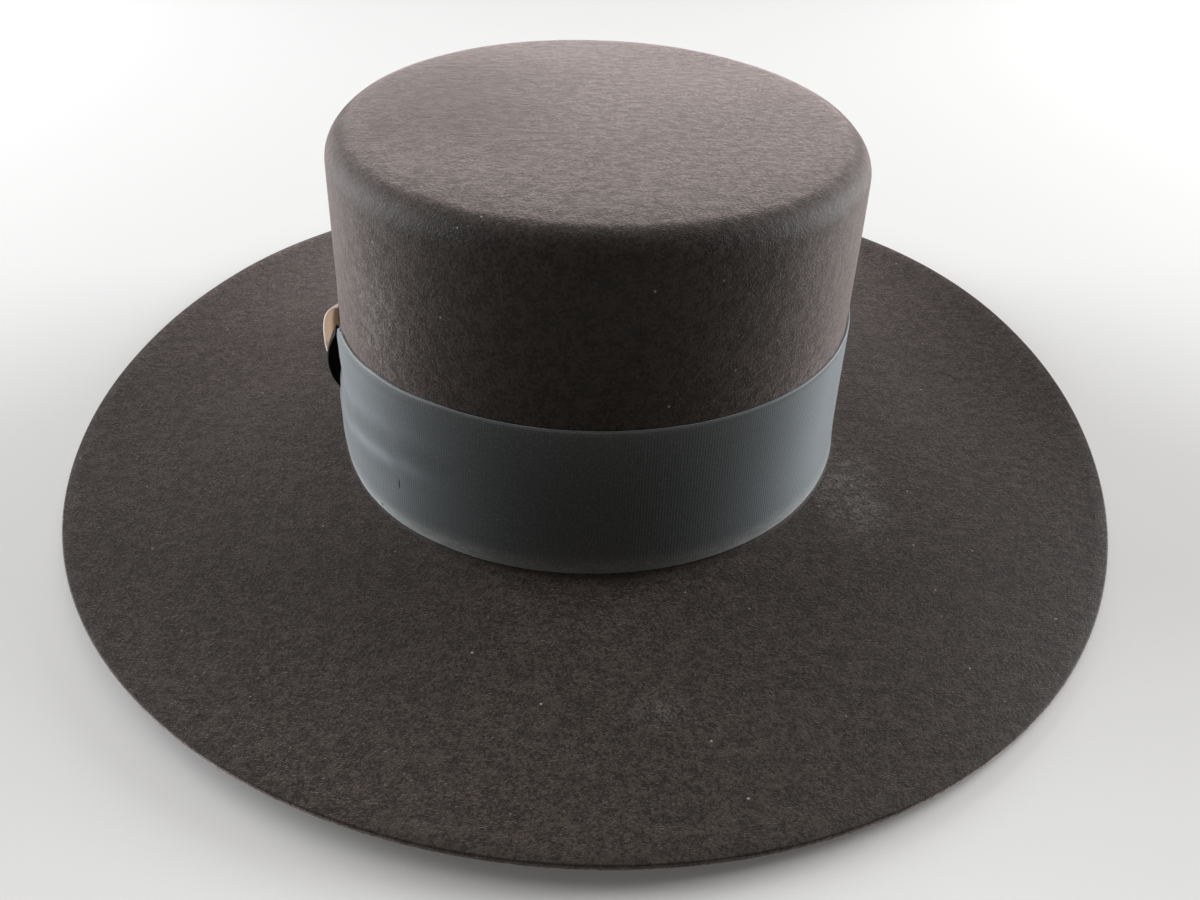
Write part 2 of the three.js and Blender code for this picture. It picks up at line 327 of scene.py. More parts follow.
felt_section += [(out, CROWN_HEIGHT - FELT) for out in reversed(tip_outs)]
felt_section += [(-HEAD_HALF_WIDTH, CROWN_HEIGHT - FELT)]
print("the felt's section has", len(felt_section), "points")


# %% Spin the felt and press it to the oval
FELT_STEPS = 288
UNEVEN_EDGE, UNEVEN_WALL, UNEVEN_TIP = 0.5, 0.35, 0.3


def uneven(place, size):
    """Slow hills and hollows between -1 and 1, about size millimetres across."""
    return noise.noise(place / (size * MM))


def felt_place(turn, out, up):
    """A place on the felt, with the small unevenness that a pressed felt keeps."""
    if out > BRIM_START:
        place = on_brim(turn, out, up)
        share = eased(out, BRIM_LEVEL, BRIM_SIDE)
        place.z += UNEVEN_EDGE * MM * share * (1 + uneven(place * Vector((1, 1, 0)).length, 70)) / 2
        return place
    place = on_crown(turn, out, up)
    bare = eased(up, 50, 62)
    away = Vector((place.x, place.y, 0)).normalized()
    if out > TIP_FLAT_OUT - 1:
        return place + away * bare * UNEVEN_WALL * MM * uneven(place, 38)
    return place + Vector((0, 0, UNEVEN_TIP * MM * uneven(place, 45)))


felt = spun(drawn_section("felt", felt_section), FELT_STEPS)
pressed(felt, felt_place)
finished(felt, "felt_body")

# %% [markdown]
# ## Ribbon
# A corded ribbon, woven with one stout rib after another, is sewn round the crown's foot. It is
# pulled tight, except near the knot, which gathers it: both edges draw in there and a soft fold
# runs away from it. A thin rounded strip is spun like the felt, then pressed with those folds.

# %% Sizes of the ribbon
RIBBON_STAND, RIBBON_HEIGHT = 1.5, 48.4
RIBBON_INNER, RIBBON_OUTER = 0.2, 0.95
RIBBON_STEPS, RIBBON_CUTS = 400, 44
PLEAT_MIDDLE, PLEAT_WIDTH = 20.5, 6.5
KNOT_TURN = math.radians(-81.5)
TOP_DRAW = [(-81, 13.5), (-76, 9.6), (-72, 5.8), (-66, 2.3), (-58, 2.2), (-46, 1.0), (-28, 0)]
FOOT_DRAW = [(-81, 12.5), (-76, 8.0), (-70, 2.4), (-64, 0.2), (-56, -0.6), (-44, -0.5), (-28, 0)]
FOLD_LINE = [(-81, 21.0), (-63, 21.6), (-57, 23.6), (-46, 25.6), (-40, 27.6), (-28, 28.5)]
print("the ribbon covers", RIBBON_HEIGHT, "mm of the wall")


# %% Rules of the ribbon
def read_off(table, value):
    """A value from a table of (turn in degrees, value) rows, eased between the rows."""
    if value <= table[0][0]:
        return table[0][1]
    for (turn_a, a), (turn_b, b) in zip(table[:-1], table[1:]):
        if value <= turn_b:
            return mix(a, b, eased(value, turn_a, turn_b))
    return table[-1][1]


def mirrored(turn):
    """Degrees from the front, with the far side of the knot folded over the near side."""
    degrees, knot = math.degrees(turn), math.degrees(KNOT_TURN)
    return degrees if degrees >= knot else 2 * knot - degrees


def ribbon_up(turn, up):
    """The height on the wall of a height on the flat ribbon, once its edges draw in."""
    degrees = mirrored(turn)
    share = (up - RIBBON_STAND) / RIBBON_HEIGHT
    foot = RIBBON_STAND + read_off(FOOT_DRAW, degrees)
    top = RIBBON_STAND + RIBBON_HEIGHT - read_off(TOP_DRAW, degrees)
    return mix(foot, top, share)


def hill(value, middle, width):
    """1 at the middle, falling smoothly to 0 on both sides."""
    return math.exp(-(((value - middle) / width) ** 2))


def fold(turn, up):
    """How far the ribbon stands off its even lie near the knot, in millimetres."""
    degrees = mirrored(turn)
    strength = eased(degrees, -78, -62) * (1 - eased(degrees, -46, -26))
    off = up - read_off(FOLD_LINE, degrees)
    hollows = 0.5 * hill(off, 6.5, 3.6) + 0.6 * hill(off, -6, 3.6)
    run = strength * (0.4 + 0.42 * hill(off, 0, 4.0) - 0.45 * hollows)
    near = hill(degrees, -81.5, 16)
    pleats = 0.5 + 0.5 * math.cos(math.tau * (up - PLEAT_MIDDLE) / PLEAT_WIDTH)
    gathered = hill(degrees, -81.5, 7) * 0.5 * pleats
    return run + near * (0.9 * hill(up, 12, 9) - 0.6 * hill(up, 28, 5.5)) + gathered


def ribbon_place(turn, out, up):
    """The upper selvedge hugs the felt, and the folds lift what lies below it."""
    at = ribbon_up(turn, up)
    edge = min(up - RIBBON_STAND, RIBBON_STAND + RIBBON_HEIGHT - up)
    loose = 0.35 * hill(mirrored(turn), -81.5, 22)
    hug = 1 - eased(RIBBON_STAND + RIBBON_HEIGHT - up, 0, 1.4)
    stand = out - wall_out(up) + loose - 0.15 * hug + eased(edge, 0, 3) * fold(turn, at)
    return on_crown(turn, wall_out(at) + stand, at)


print("the fold lifts the ribbon by", round(fold(math.radians(-57), 23.6), 2), "mm")

# %% Spin the ribbon
nothing_selected()
bpy.ops.mesh.primitive_plane_add(size=1, rotation=(math.pi / 2, 0, 0))
ribbon = bpy.context.object
ribbon.name = "ribbon"
ribbon.scale = ((RIBBON_OUTER - RIBBON_INNER) * MM, RIBBON_HEIGHT * MM, 1)
ribbon.location.x = (HEAD_HALF_WIDTH + (RIBBON_OUTER + RIBBON_INNER) / 2) * MM
ribbon.location.z = (FELT + RIBBON_STAND + RIBBON_HEIGHT / 2) * MM
bpy.ops.object.transform_apply(location=True, rotation=True, scale=True)
all_in_edit_mode()
bpy.ops.mesh.bevel(offset=CORNER * MM, segments=3, affect="VERTICES")
bpy.ops.mesh.delete(type="ONLY_FACE")
bpy.ops.mesh.select_all(action="DESELECT")
bpy.ops.object.mode_set(mode="OBJECT")
for edge in ribbon.data.edges:
    a, b = (ribbon.data.vertices[i].co for i in edge.vertices)
    edge.select = (a - b).length > 10 * MM
bpy.ops.object.mode_set(mode="EDIT")
bpy.ops.mesh.select_mode(type="EDGE")
bpy.ops.mesh.subdivide(number_cuts=RIBBON_CUTS)
bpy.ops.mesh.select_mode(type="VERT")
bpy.ops.object.mode_set(mode="OBJECT")
for vertex in ribbon.data.vertices:
    vertex.co.x += wall_out(vertex.co.z / MM - FELT) * MM
spun(ribbon, RIBBON_STEPS)
ribbon_told = pressed(ribbon, ribbon_place)
print("the ribbon has", len(ribbon.data.vertices), "points")

# %% [markdown]
# The ribs have to follow the cloth round the head, so the ribbon gets a UV map in millimetres:
# along the ribbon from the knot, and up from its lower edge. The map is cut under the knot.


# %% UV map of the ribbon
def lengths_round():
    """Millimetres along the crown's foot from the knot, at each degree of a full turn."""
    far = [0.0]
    for i in range(720):
        a = oval_point(KNOT_TURN + math.radians(i / 2), RIBBON_OUTER)
        b = oval_point(KNOT_TURN + math.radians((i + 1) / 2), RIBBON_OUTER)
        far.append(far[-1] + (b - a).length)
    return far


ROUND = lengths_round()


def along_ribbon(turn):
    half_degrees = math.degrees((turn - KNOT_TURN) % math.tau) * 2
    i = min(719, int(half_degrees))
    return mix(ROUND[i], ROUND[i + 1], half_degrees - i)


def map_ribbon(piece, told):
    layer = piece.data.uv_layers.new(name="cloth")
    for face in piece.data.polygons:
        spots = [along_ribbon(told[i][0]) for i in face.vertices]
        wraps = max(spots) - min(spots) > ROUND[-1] / 2
        for loop, spot, i in zip(face.loop_indices, spots, face.vertices):
            u = spot + ROUND[-1] if wraps and spot < ROUND[-1] / 2 else spot
            layer.data[loop].uv = (u, told[i][2] - RIBBON_STAND)


map_ribbon(ribbon, ribbon_told)
finished(ribbon, "ribbon_band")
print("the ribbon is", round(ROUND[-1]), "mm round")

# %% [markdown]
# ## Knot
# On the left a short strip of black ribbon bows out over the feather's root, and its ends lie on
# the band. Seen end-on it is a black lens, partly black cloth and partly painted shade: the hollow
# is kept black by colour. A thin strip makes the bow, and a thick black one inside it stands for
# the folds of the knot, which keep light out of its hollow; it is a dark sheet of painted shade.

# %% Sizes of the knot
KNOT_WIDTH, KNOT_HEIGHT, KNOT_MIDDLE, KNOT_BULGE = 7.0, 20.0, 25.5, 4.4
TRIM_STAND, TRIM_GAP = 1.65, 0.3
STRIP = 0.8
STRIP_ROWS, STRIP_COLUMNS = 44, 12


def trim_out(up):
    return wall_out(up) + TRIM_STAND


def turn_of(length):
    return length / HEAD_HALF_LENGTH


print("the knot stands", KNOT_BULGE, "mm off the ribbon")


# %% A bowed strip
def bowed_strip(name, width, height, bulge, thick=STRIP):
    """A rounded section is pulled up in steps, then every point is carried to the bow."""
    nothing_selected()
    bpy.ops.mesh.primitive_plane_add(size=1)
    piece = bpy.context.object
    piece.name = name
    piece.scale = (width * MM, STRIP * MM, 1)
    bpy.ops.object.transform_apply(location=True, rotation=True, scale=True)
    all_in_edit_mode()
    bpy.ops.mesh.bevel(offset=CORNER * MM, segments=3, affect="VERTICES")
    bpy.ops.object.mode_set(mode="OBJECT")
    for edge in piece.data.edges:
        a, b = (piece.data.vertices[i].co for i in edge.vertices)
        edge.select = (a - b).length > 2 * MM
    bpy.ops.object.mode_set(mode="EDIT")
    bpy.ops.mesh.select_mode(type="EDGE")
    bpy.ops.mesh.subdivide(number_cuts=STRIP_COLUMNS - 1)
    bpy.ops.mesh.select_mode(type="FACE")
    bpy.ops.mesh.select_all(action="SELECT")
    for step in range(STRIP_ROWS):
        pull = (0, 0, height / STRIP_ROWS * MM)
        bpy.ops.mesh.extrude_region_move(TRANSFORM_OT_translate={"value": pull})
    bpy.ops.mesh.select_all(action="SELECT")
    bpy.ops.mesh.normals_make_consistent(inside=False)
    bpy.ops.object.mode_set(mode="OBJECT")
    layer = piece.data.uv_layers.new(name="cloth")
    spots = [vertex.co / MM for vertex in piece.data.vertices]
    for loop in piece.data.loops:
        spot = spots[loop.vertex_index]
        layer.data[loop.index].uv = (spot.z, spot.x + width / 2)
    for vertex, spot in zip(piece.data.vertices, spots):
        s = 2 * spot.z / height - 1
        side = 2 * spot.x / width
        inward = 0.5 - spot.y / STRIP
        skin = thick * inward
        pinch = 1 + 0.08 * s * s
        up = KNOT_MIDDLE + (height / 2 - 1.5 * STRIP * inward) * s
        stand = (bulge - skin - 0.5 * side * side * (1 - s * s)) * (1 - s * s)
        lie = 0.02 if abs(s) > 0.98 else 0
        turn = KNOT_TURN + turn_of(spot.x * pinch)
        rest = STRIP * (1 - inward) * s * s
        vertex.co = on_crown(turn, trim_out(up) + max(stand, lie) + rest, up)
    piece.data.update()
    return piece


knot = bowed_strip("knot", KNOT_WIDTH, KNOT_HEIGHT, KNOT_BULGE)
# The inner fold is black: a dark sheet of painted shade that fills the knot's hollow.
inner_fold_shade = bowed_strip("knot_fold_shade", KNOT_WIDTH - 1.4, KNOT_HEIGHT - 2.4, 3.3, 3.2)
finished(knot, "ribbon_knot")
finished(inner_fold_shade, None)

# %% [markdown]
# ## Feather
# A short tan feather is cupped against the ribbon behind the knot. Its vane is a grid whose rows
# follow the barbs: they sweep forward from the shaft, split in a few places and end in a soft
# saw edge. A tapered shaft runs down its middle and its quill goes into the knot.

# %% Sizes of the feather
FEATHER_LENGTH, FEATHER_HEIGHT = 62.0, 31.0
FEATHER_ROOT, FEATHER_TIP, FEATHER_BULGE = 31.0, 22.5, 5.5
FEATHER_ROUNDNESS = 2.6
VANE = 0.5
VANE_OUTLINE = [
    (0, 0.70, 1), (0.03, 0.69, 0.84), (0.07, 0.67, 0.58), (0.12, 0.665, 0.37), (0.2, 0.68, 0.25),
    (0.3, 0.72, 0.2), (0.44, 0.76, 0.19), (0.66, 0.70, 0.18), (0.84, 0.49, 0.17), (0.95, 0.26, 0.16),
    (1, 0.13, 0.15),
]
SPLITS = [(0.34, 1, 0.30), (0.55, -1, 0.36), (0.71, 1, 0.28), (0.80, -1, 0.22)]
FEATHER_START = KNOT_TURN - turn_of(KNOT_WIDTH / 2 + TRIM_GAP * 2)
print("the feather is", FEATHER_LENGTH, "mm long")


# %% Rules of the vane
def vane_shares(along):
    for a, b in zip(VANE_OUTLINE[:-1], VANE_OUTLINE[1:]):
        if along <= b[0]:
            t = (along - a[0]) / (b[0] - a[0])
            return mix(a[1], b[1], t), mix(a[2], b[2], t)
    return VANE_OUTLINE[-1][1:]


def barb_length(along, side):
    """Share of the outline's height that the barbs reach, on the upper or lower side."""
    reach = 0.985 + 0.015 * math.sin(along * 410 + side)
    for place, where, depth in SPLITS:
        if where * side > 0:
            reach -= depth * max(0, 1 - abs(along - place) / 0.012)
    return reach


def vane_place(along, across, skin):
    """across runs from -1 at the lower edge to 1 at the upper edge."""
    swept = along + 0.10 * eased(along, 0.05, 0.4) * (1 - along) * abs(across) ** 1.3
    height, bulge = vane_shares(swept)
    angle = math.pi * (across + 1) / 2
    power = 2 / FEATHER_ROUNDNESS
    lift = max(0, math.sin(angle)) ** power
    rise = -math.copysign(abs(math.cos(angle)) ** power, math.cos(angle))
    half = (height * FEATHER_HEIGHT / 2 - skin) * barb_length(along, across)
    up = mix(FEATHER_ROOT, FEATHER_TIP, swept) + half * rise
    turn = FEATHER_START - turn_of(FEATHER_LENGTH * swept)
    return on_crown(turn, trim_out(up) + (bulge * FEATHER_BULGE - skin) * lift, up)


print("the vane stands off by", FEATHER_BULGE, "mm at its root")

# %% Build the vane
ROWS, COLUMNS = 180, 40
nothing_selected()
bpy.ops.mesh.primitive_cube_add(size=1, location=(0.5, 0, 0.5))
feather = bpy.context.object
feather.name = "feather"
feather.scale = (1, 2, 1)
bpy.ops.object.transform_apply(location=True, rotation=True, scale=True)
for edge in feather.data.edges:
    a, b = (feather.data.vertices[i].co for i in edge.vertices)
    edge.select = abs(a.x - b.x) > 0.5
for vertex in feather.data.vertices:
    vertex.select = False
bpy.ops.object.mode_set(mode="EDIT")
bpy.ops.mesh.select_mode(type="EDGE")
bpy.ops.mesh.subdivide(number_cuts=ROWS - 1)
bpy.ops.mesh.select_all(action="DESELECT")
bpy.ops.object.mode_set(mode="OBJECT")
for edge in feather.data.edges:
    a, b = (feather.data.vertices[i].co for i in edge.vertices)
    edge.select = abs(a.y - b.y) > 0.5
bpy.ops.object.mode_set(mode="EDIT")
bpy.ops.mesh.subdivide(number_cuts=COLUMNS - 1)
bpy.ops.mesh.select_mode(type="VERT")
bpy.ops.object.mode_set(mode="OBJECT")
vane_told = [vertex.co.copy() for vertex in feather.data.vertices]
vane_map = feather.data.uv_layers[0]
vane_map.name = "barbs"
for loop in feather.data.loops:
    spot = vane_told[loop.vertex_index]
    vane_map.data[loop.index].uv = (spot.x, spot.y)
for vertex, spot in zip(feather.data.vertices, vane_told):
    vertex.co = vane_place(spot.x, spot.y, VANE * (1 - spot.z))
feather.data.update()
all_in_edit_mode()
bpy.ops.mesh.normals_make_consistent(inside=False)
bpy.ops.object.mode_set(mode="OBJECT")
print("the vane has", len(feather.data.polygons), "faces")

# %% Shaft and quill
SHAFT_STEPS = 40
start_out = trim_out(KNOT_MIDDLE) + 0.8
nothing_selected()
bpy.ops.mesh.primitive_circle_add(vertices=12, radius=1, fill_type="NGON")
shaft = bpy.context.object
shaft.name = "feather_shaft"
all_in_edit_mode()
bpy.ops.mesh.select_mode(type="FACE")
for step in range(SHAFT_STEPS):
    bpy.ops.mesh.extrude_region_move(TRANSFORM_OT_translate={"value": (0, 0, 1)})
bpy.ops.mesh.select_all(action="SELECT")
bpy.ops.mesh.normals_make_consistent(inside=False)
bpy.ops.mesh.select_mode(type="VERT")
bpy.ops.object.mode_set(mode="OBJECT")


def shaft_middle(share):
    """The middle line of the shaft, from inside the knot to near the vane's end."""
    on_vane = vane_place(mix(0.02, 0.93, max(0, share)), 0, 0.15)
    inside = on_crown(KNOT_TURN - turn_of(2.0), start_out, KNOT_MIDDLE + 2)
    return inside.lerp(on_vane, eased(share, 0, 0.14))


def shaft_radius(share):
    return mix(0.75, 0.25, share) * MM


for vertex in shaft.data.vertices:
    share = vertex.co.z / SHAFT_STEPS
    ahead = shaft_middle(min(1, share + 0.01)) - shaft_middle(max(0, share - 0.01))
    side = ahead.cross(Vector((0, 0, 1))).normalized()
    top = side.cross(ahead).normalized()
    middle = shaft_middle(share)
    vertex.co = middle + (side * vertex.co.x + top * vertex.co.y) * shaft_radius(share)
shaft.data.update()
all_in_edit_mode()
bpy.ops.mesh.normals_make_consistent(inside=False)
bpy.ops.object.mode_set(mode="OBJECT")
finished(feather, "tan_feather")
finished(shaft, None)

# %% [markdown]
# ## Writing shader maths
# A finish is a graph of nodes. Written as sums it reads more easily: this small class holds one
# socket, and plus, minus, times and divide add the Math node that does the same.


# %% Sockets that can be added and multiplied
class Wire:
    def __init__(self, finish, socket):
        self.finish = finish
        self.socket = socket

    def __add__(self, other):
        return self.finish.maths("ADD", self, other)

    def __sub__(self, other):
        return self.finish.maths("SUBTRACT", self, other)

    def __rsub__(self, other):
        return self.finish.maths("SUBTRACT", other, self)

    def __mul__(self, other):
        return self.finish.maths("MULTIPLY", self, other)

    def __truediv__(self, other):
        return self.finish.maths("DIVIDE", self, other)

    __radd__ = __add__
    __rmul__ = __mul__


class Finish:
    """A material whose shader sockets are set by name."""

    def __init__(self, name, **constants):
        self.material = bpy.data.materials.new(name)
        self.material.use_nodes = True
        self.tree = self.material.node_tree
        self.shader = self.tree.nodes["Principled BSDF"]
        for socket, value in constants.items():
            self.shader.inputs[socket.replace("_", " ")].default_value = value

    def node(self, kind, settings=None, inputs=None, output=0):
        made = self.tree.nodes.new(kind)
        for name, value in (settings or {}).items():
            setattr(made, name, value)
        for key, value in (inputs or {}).items():
            if isinstance(value, Wire):
                self.tree.links.new(value.socket, made.inputs[key])
            else:
                made.inputs[key].default_value = value
        return Wire(self, made.outputs[output])

    def maths(self, operation, *values):
        return self.node("ShaderNodeMath", {"operation": operation}, dict(enumerate(values)))

    def step(self, value, low, high):
        """0 below low, 1 above high. With high below low it falls instead."""
        smooth = {"interpolation_type": "SMOOTHSTEP"}
        if low < high:
            return self.node("ShaderNodeMapRange", smooth, {0: value, 1: low, 2: high})
        return 1 - self.node("ShaderNodeMapRange", smooth, {0: value, 1: high, 2: low})

    def colours(self, factor, a, b):
        settings = {"data_type": "RGBA"}
        return self.node("ShaderNodeMix", settings, {0: factor, 6: a, 7: b}, 2)

    def grain(self, place, size, detail=2.0, rough=0.5):
        """Noise between 0 and 1 whose spots are about size metres across."""
        values = {"Vector": place, "Scale": 1 / size, "Detail": detail, "Roughness": rough}
        return self.node("ShaderNodeTexNoise", None, values)

    def scaled(self, place, x, y, z):
        values = {0: place, 1: (x, y, z)}
        return self.node("ShaderNodeVectorMath", {"operation": "MULTIPLY"}, values)

    def part(self, place, axis):
        return self.node("ShaderNodeSeparateXYZ", None, {0: place}, axis)

    def bump(self, height, distance, strength=1.0):
        values = {"Height": height, "Distance": distance, "Strength": strength}
        return self.node("ShaderNodeBump", None, values)

    def feed(self, socket, value):
        self.tree.links.new(value.socket, self.shader.inputs[socket])

    def lay_over(self, factor, normal, **constants):
        """Lays a plain shader over what is there, where the factor is 1."""
        upper = self.tree.nodes.new("ShaderNodeBsdfPrincipled")
        for socket, value in constants.items():
            upper.inputs[socket.replace("_", " ")].default_value = value
        self.tree.links.new(normal.socket, upper.inputs["Normal"])
        mixed = self.tree.nodes.new("ShaderNodeMixShader")
        surface = self.tree.nodes["Material Output"].inputs["Surface"]
        self.tree.links.new(factor.socket, mixed.inputs[0])
        self.tree.links.new(surface.links[0].from_socket, mixed.inputs[1])
        self.tree.links.new(upper.outputs[0], mixed.inputs[2])
        self.tree.links.new(mixed.outputs[0], surface)

    def on(self, *pieces):
        for piece in pieces:
            piece.data.materials.clear()
            piece.data.materials.append(self.material)
        print(self.material.name, "has", len(self.tree.nodes), "nodes")


# %% [markdown]
# ## Felt finish
# Fur felt has a short nap: dark when looked at straight on, pale where it is seen from the side.
# The sheen on the shader does that. Noise of three sizes gives the mottle of the nap, the fibres
# and slow clouds, and scattered specks and a little dust show that the hat has been worn.


# %% Felt finish
def dust_patch(finish, place, centre, radii):
    """A soft round patch of dust about a point of the hat."""
    shifted = finish.node("ShaderNodeVectorMath", {"operation": "SUBTRACT"}, {0: place, 1: centre})
    squeezed = finish.scaled(shifted, *(1 / r for r in radii))
    far = finish.node("ShaderNodeVectorMath", {"operation": "LENGTH"}, {0: squeezed}, 1)
    return finish.step(far, 1.0, 0.1)


def strands(finish, place, turn, thin, long):
    """Noise drawn out along one direction, as a felt's short fibres are."""
    settings = {"vector_type": "TEXTURE"}
    values = {"Vector": place, "Rotation": turn, "Scale": (long, thin, thin)}
    laid = finish.node("ShaderNodeMapping", settings, values)
    return finish.node("ShaderNodeTexNoise", None, {"Vector": laid, "Scale": 1, "Detail": 1})


felt_finish = Finish(
    "brown grey felt",
    Specular_IOR_Level=0.2,
    Sheen_Weight=0.78,
    Sheen_Roughness=0.34,
    Sheen_Tint=(1.0, 0.83, 0.80, 1),
)
spot = felt_finish.node("ShaderNodeTexCoord", output=3)
mottle = felt_finish.grain(spot, 0.0011, 3.0, 0.65)
tufts = felt_finish.grain(spot, 0.0034, 2.0, 0.5)
clouds = felt_finish.grain(spot, 0.034, 3.0, 0.55)
hue = felt_finish.grain(spot, 0.0021, 2.0, 0.6)
first = strands(felt_finish, spot, (0.3, 0.5, 0.2), 0.0004, 0.0018)
second = strands(felt_finish, spot, (1.1, 0.4, 1.5), 0.0004, 0.0016)
third = strands(felt_finish, spot, (0.2, 1.3, 2.6), 0.0004, 0.0020)
fibres = felt_finish.maths("MAXIMUM", felt_finish.maths("MAXIMUM", first, second), third)
fibres = felt_finish.step(fibres, 0.52, 0.80)
nap = felt_finish.step(mottle, 0.36, 0.64)
shade = felt_finish.step(clouds, 0.35, 0.65)
ruddy = felt_finish.colours(nap, (0.0034, 0.0014, 0.0011, 1), (0.0140, 0.0075, 0.0052, 1))
drab = felt_finish.colours(nap, (0.0020, 0.0021, 0.0010, 1), (0.0080, 0.0088, 0.0040, 1))
felt_colour = felt_finish.colours(felt_finish.step(hue, 0.36, 0.64), ruddy, drab)
felt_colour = felt_finish.colours(fibres * 0.4, felt_colour, (0.030, 0.024, 0.020, 1))
felt_colour = felt_finish.colours(shade * 0.15, felt_colour, (0.018, 0.014, 0.012, 1))
felt_finish.feed("Base Color", felt_colour)
felt_finish.feed("Roughness", 0.48 + nap * 0.10 + fibres * 0.08)
relief = mottle * 0.25 + fibres * 0.15 + tufts * 0.42
felt_normal = felt_finish.bump(relief, 0.0004, 1.0)
felt_finish.feed("Normal", felt_normal)

raised = felt_finish.step(mottle * 0.65 + tufts * 0.35, 0.45, 0.57) * 0.72 + fibres * 0.42
felt_finish.lay_over(
    raised,
    felt_normal,
    Base_Color=(0.022, 0.0150, 0.0096, 1),
    Roughness=0.6,
    Specular_IOR_Level=0.2,
    Sheen_Weight=1.0,
    Sheen_Roughness=0.38,
    Sheen_Tint=(1.0, 0.85, 0.82, 1),
)

# %% Lint, dust and a darker patch on the tip
# A darker patch on the left of the tip, with less sheen.
dark_tip_patch = dust_patch(felt_finish, spot, (-0.048, 0.010, 0.108), (0.062, 0.080, 0.020))
felt_finish.lay_over(
    dark_tip_patch * 0.42,
    felt_normal,
    Base_Color=(0.008, 0.0055, 0.0042, 1),
    Roughness=0.6,
    Specular_IOR_Level=0.2,
    Sheen_Weight=0.42,
    Sheen_Roughness=0.34,
    Sheen_Tint=(1.0, 0.84, 0.80, 1),
)
cells = {"Vector": spot, "Scale": 1 / 0.006}
speck_far = felt_finish.node("ShaderNodeTexVoronoi", None, cells, 0)
speck_pick = felt_finish.node("ShaderNodeTexVoronoi", None, cells, 1)
picked = felt_finish.part(speck_pick, 0)
specks = felt_finish.step(speck_far, 0.08, 0.03) * felt_finish.step(picked, 0.55, 0.95)

right_dust = dust_patch(felt_finish, spot, (0.083, -0.062, 0.002), (0.017, 0.036, 0.010))
front_scuff = dust_patch(felt_finish, spot, (0.012, -0.151, 0.003), (0.012, 0.007, 0.010))
left_fuzz = dust_patch(felt_finish, spot, (-0.0635, -0.065, 0.070), (0.022, 0.026, 0.026))
clumps = (0.35 + felt_finish.step(tufts, 0.42, 0.66) * 0.65) * (nap * 0.3 + fibres * 0.7)
dust = (right_dust * 0.5 + front_scuff * 0.16 + left_fuzz * 0.34) * clumps
felt_finish.lay_over(
    felt_finish.maths("MAXIMUM", specks * 0.55, dust),
    felt_normal,
    Base_Color=(0.42, 0.40, 0.37, 1),
    Roughness=0.8,
    Sheen_Weight=0.5,
)
felt_finish.on(felt)

# %% [markdown]
# ## Ribbon finish
# The ribs of the ribbon run up and down, just under a millimetre apart, and catch light from the
# sides in turn. Both selvedges are smooth. Dust has settled along the lower edge, most of it on
# the flanks, where the pale band is made stronger still as painted sheen. The cloth near the knot
# has pale patches, partly rubbed wear and partly painted sheen.

# %% Ribbon finish
RIB = 0.9
DUST_AND_SHEEN_TOP = 7.5
RUBBED_AND_SHEEN_FAR, RUBBED_AND_SHEEN_NEAR = 66, 22


def corded(finish, colours, rib):
    """The ribs of a corded ribbon as a height from 0 to 1, and their colour: thread tones with
    painted rib shading.
    """
    cloth = finish.node("ShaderNodeUVMap", {"uv_map": "cloth"})
    along, up = finish.part(cloth, 0), finish.part(cloth, 1)
    wander = finish.grain(finish.scaled(cloth, 0.35, 0.06, 1), 1.0, 2.0, 0.5)
    wave = finish.maths("SINE", (along + wander * 0.25) * (math.tau / rib))
    ribs = wave * 0.5 + 0.5
    threads = finish.grain(finish.scaled(cloth, 1 / rib, 3.2, 1), 1.0, 2.0, 0.6)
    tone = finish.grain(finish.scaled(cloth, 0.9, 0.03, 1), 1.0, 1.0, 0.5)
    # The colour follows the ribs, lighter on each crest: painted shading of the ribs over the
    # threads' tones.
    factor = ribs * 0.62 + threads * 0.22 + finish.step(tone, 0.3, 0.7) * 0.16
    return cloth, along, up, ribs * 0.8 + threads * 0.2, finish.colours(factor, *colours)


ribbon_finish = Finish(
    "charcoal corded ribbon",
    Specular_IOR_Level=0.6,
    Sheen_Weight=1.0,
    Sheen_Roughness=0.42,
    Sheen_Tint=(0.86, 0.94, 1.0, 1),
)
charcoal = ((0.0008, 0.0015, 0.0005, 1), (0.0074, 0.0098, 0.0058, 1))
cloth, along, up, weave, ribbon_colour = corded(ribbon_finish, charcoal, RIB)
top_line = ribbon_finish.step(up, RIBBON_HEIGHT - 0.65, RIBBON_HEIGHT - 0.4)
foot_line = ribbon_finish.step(up, 0.65, 0.4)
settled = ribbon_finish.grain(ribbon_finish.scaled(cloth, 0.15, 0.5, 1), 1.0, 3.0, 0.6)
speckle = ribbon_finish.grain(ribbon_finish.scaled(cloth, 1.3, 1.3, 1), 1.0, 3.0, 0.65)
speckle = ribbon_finish.step(speckle, 0.48, 0.74)
from_front = ribbon_finish.maths("ABSOLUTE", along - along_ribbon(0))
# The flanks, seen from the side, get a stronger pale band: dust along the foot and painted sheen.
flank = 0.25 + ribbon_finish.step(from_front, 18, 68) * 0.75
thick = 0.35 + ribbon_finish.step(settled, 0.3, 0.7) * 0.4 + speckle * 0.35
foot_dust_and_sheen = ribbon_finish.step(up, DUST_AND_SHEEN_TOP, -1.0) * thick * flank
pale = (0.30, 0.305, 0.27, 1)
ribbon_colour = ribbon_finish.colours(foot_dust_and_sheen * 0.95 + speckle * 0.13, ribbon_colour, pale)
# A paler line along the top selvedge: partly thread colour, partly a painted highlight on its edge.
ribbon_colour = ribbon_finish.colours(top_line * 0.25, ribbon_colour, (0.16, 0.165, 0.155, 1))


def mark(finish, along, up, turn, height, half_length, half_height):
    """A small dark mark on the ribbon, at a turn and a height on its flat cloth."""
    a = (along - along_ribbon(math.radians(turn))) / half_length
    b = (up - height) / half_height
    return finish.step(a * a + b * b, 1.0, 0.5)


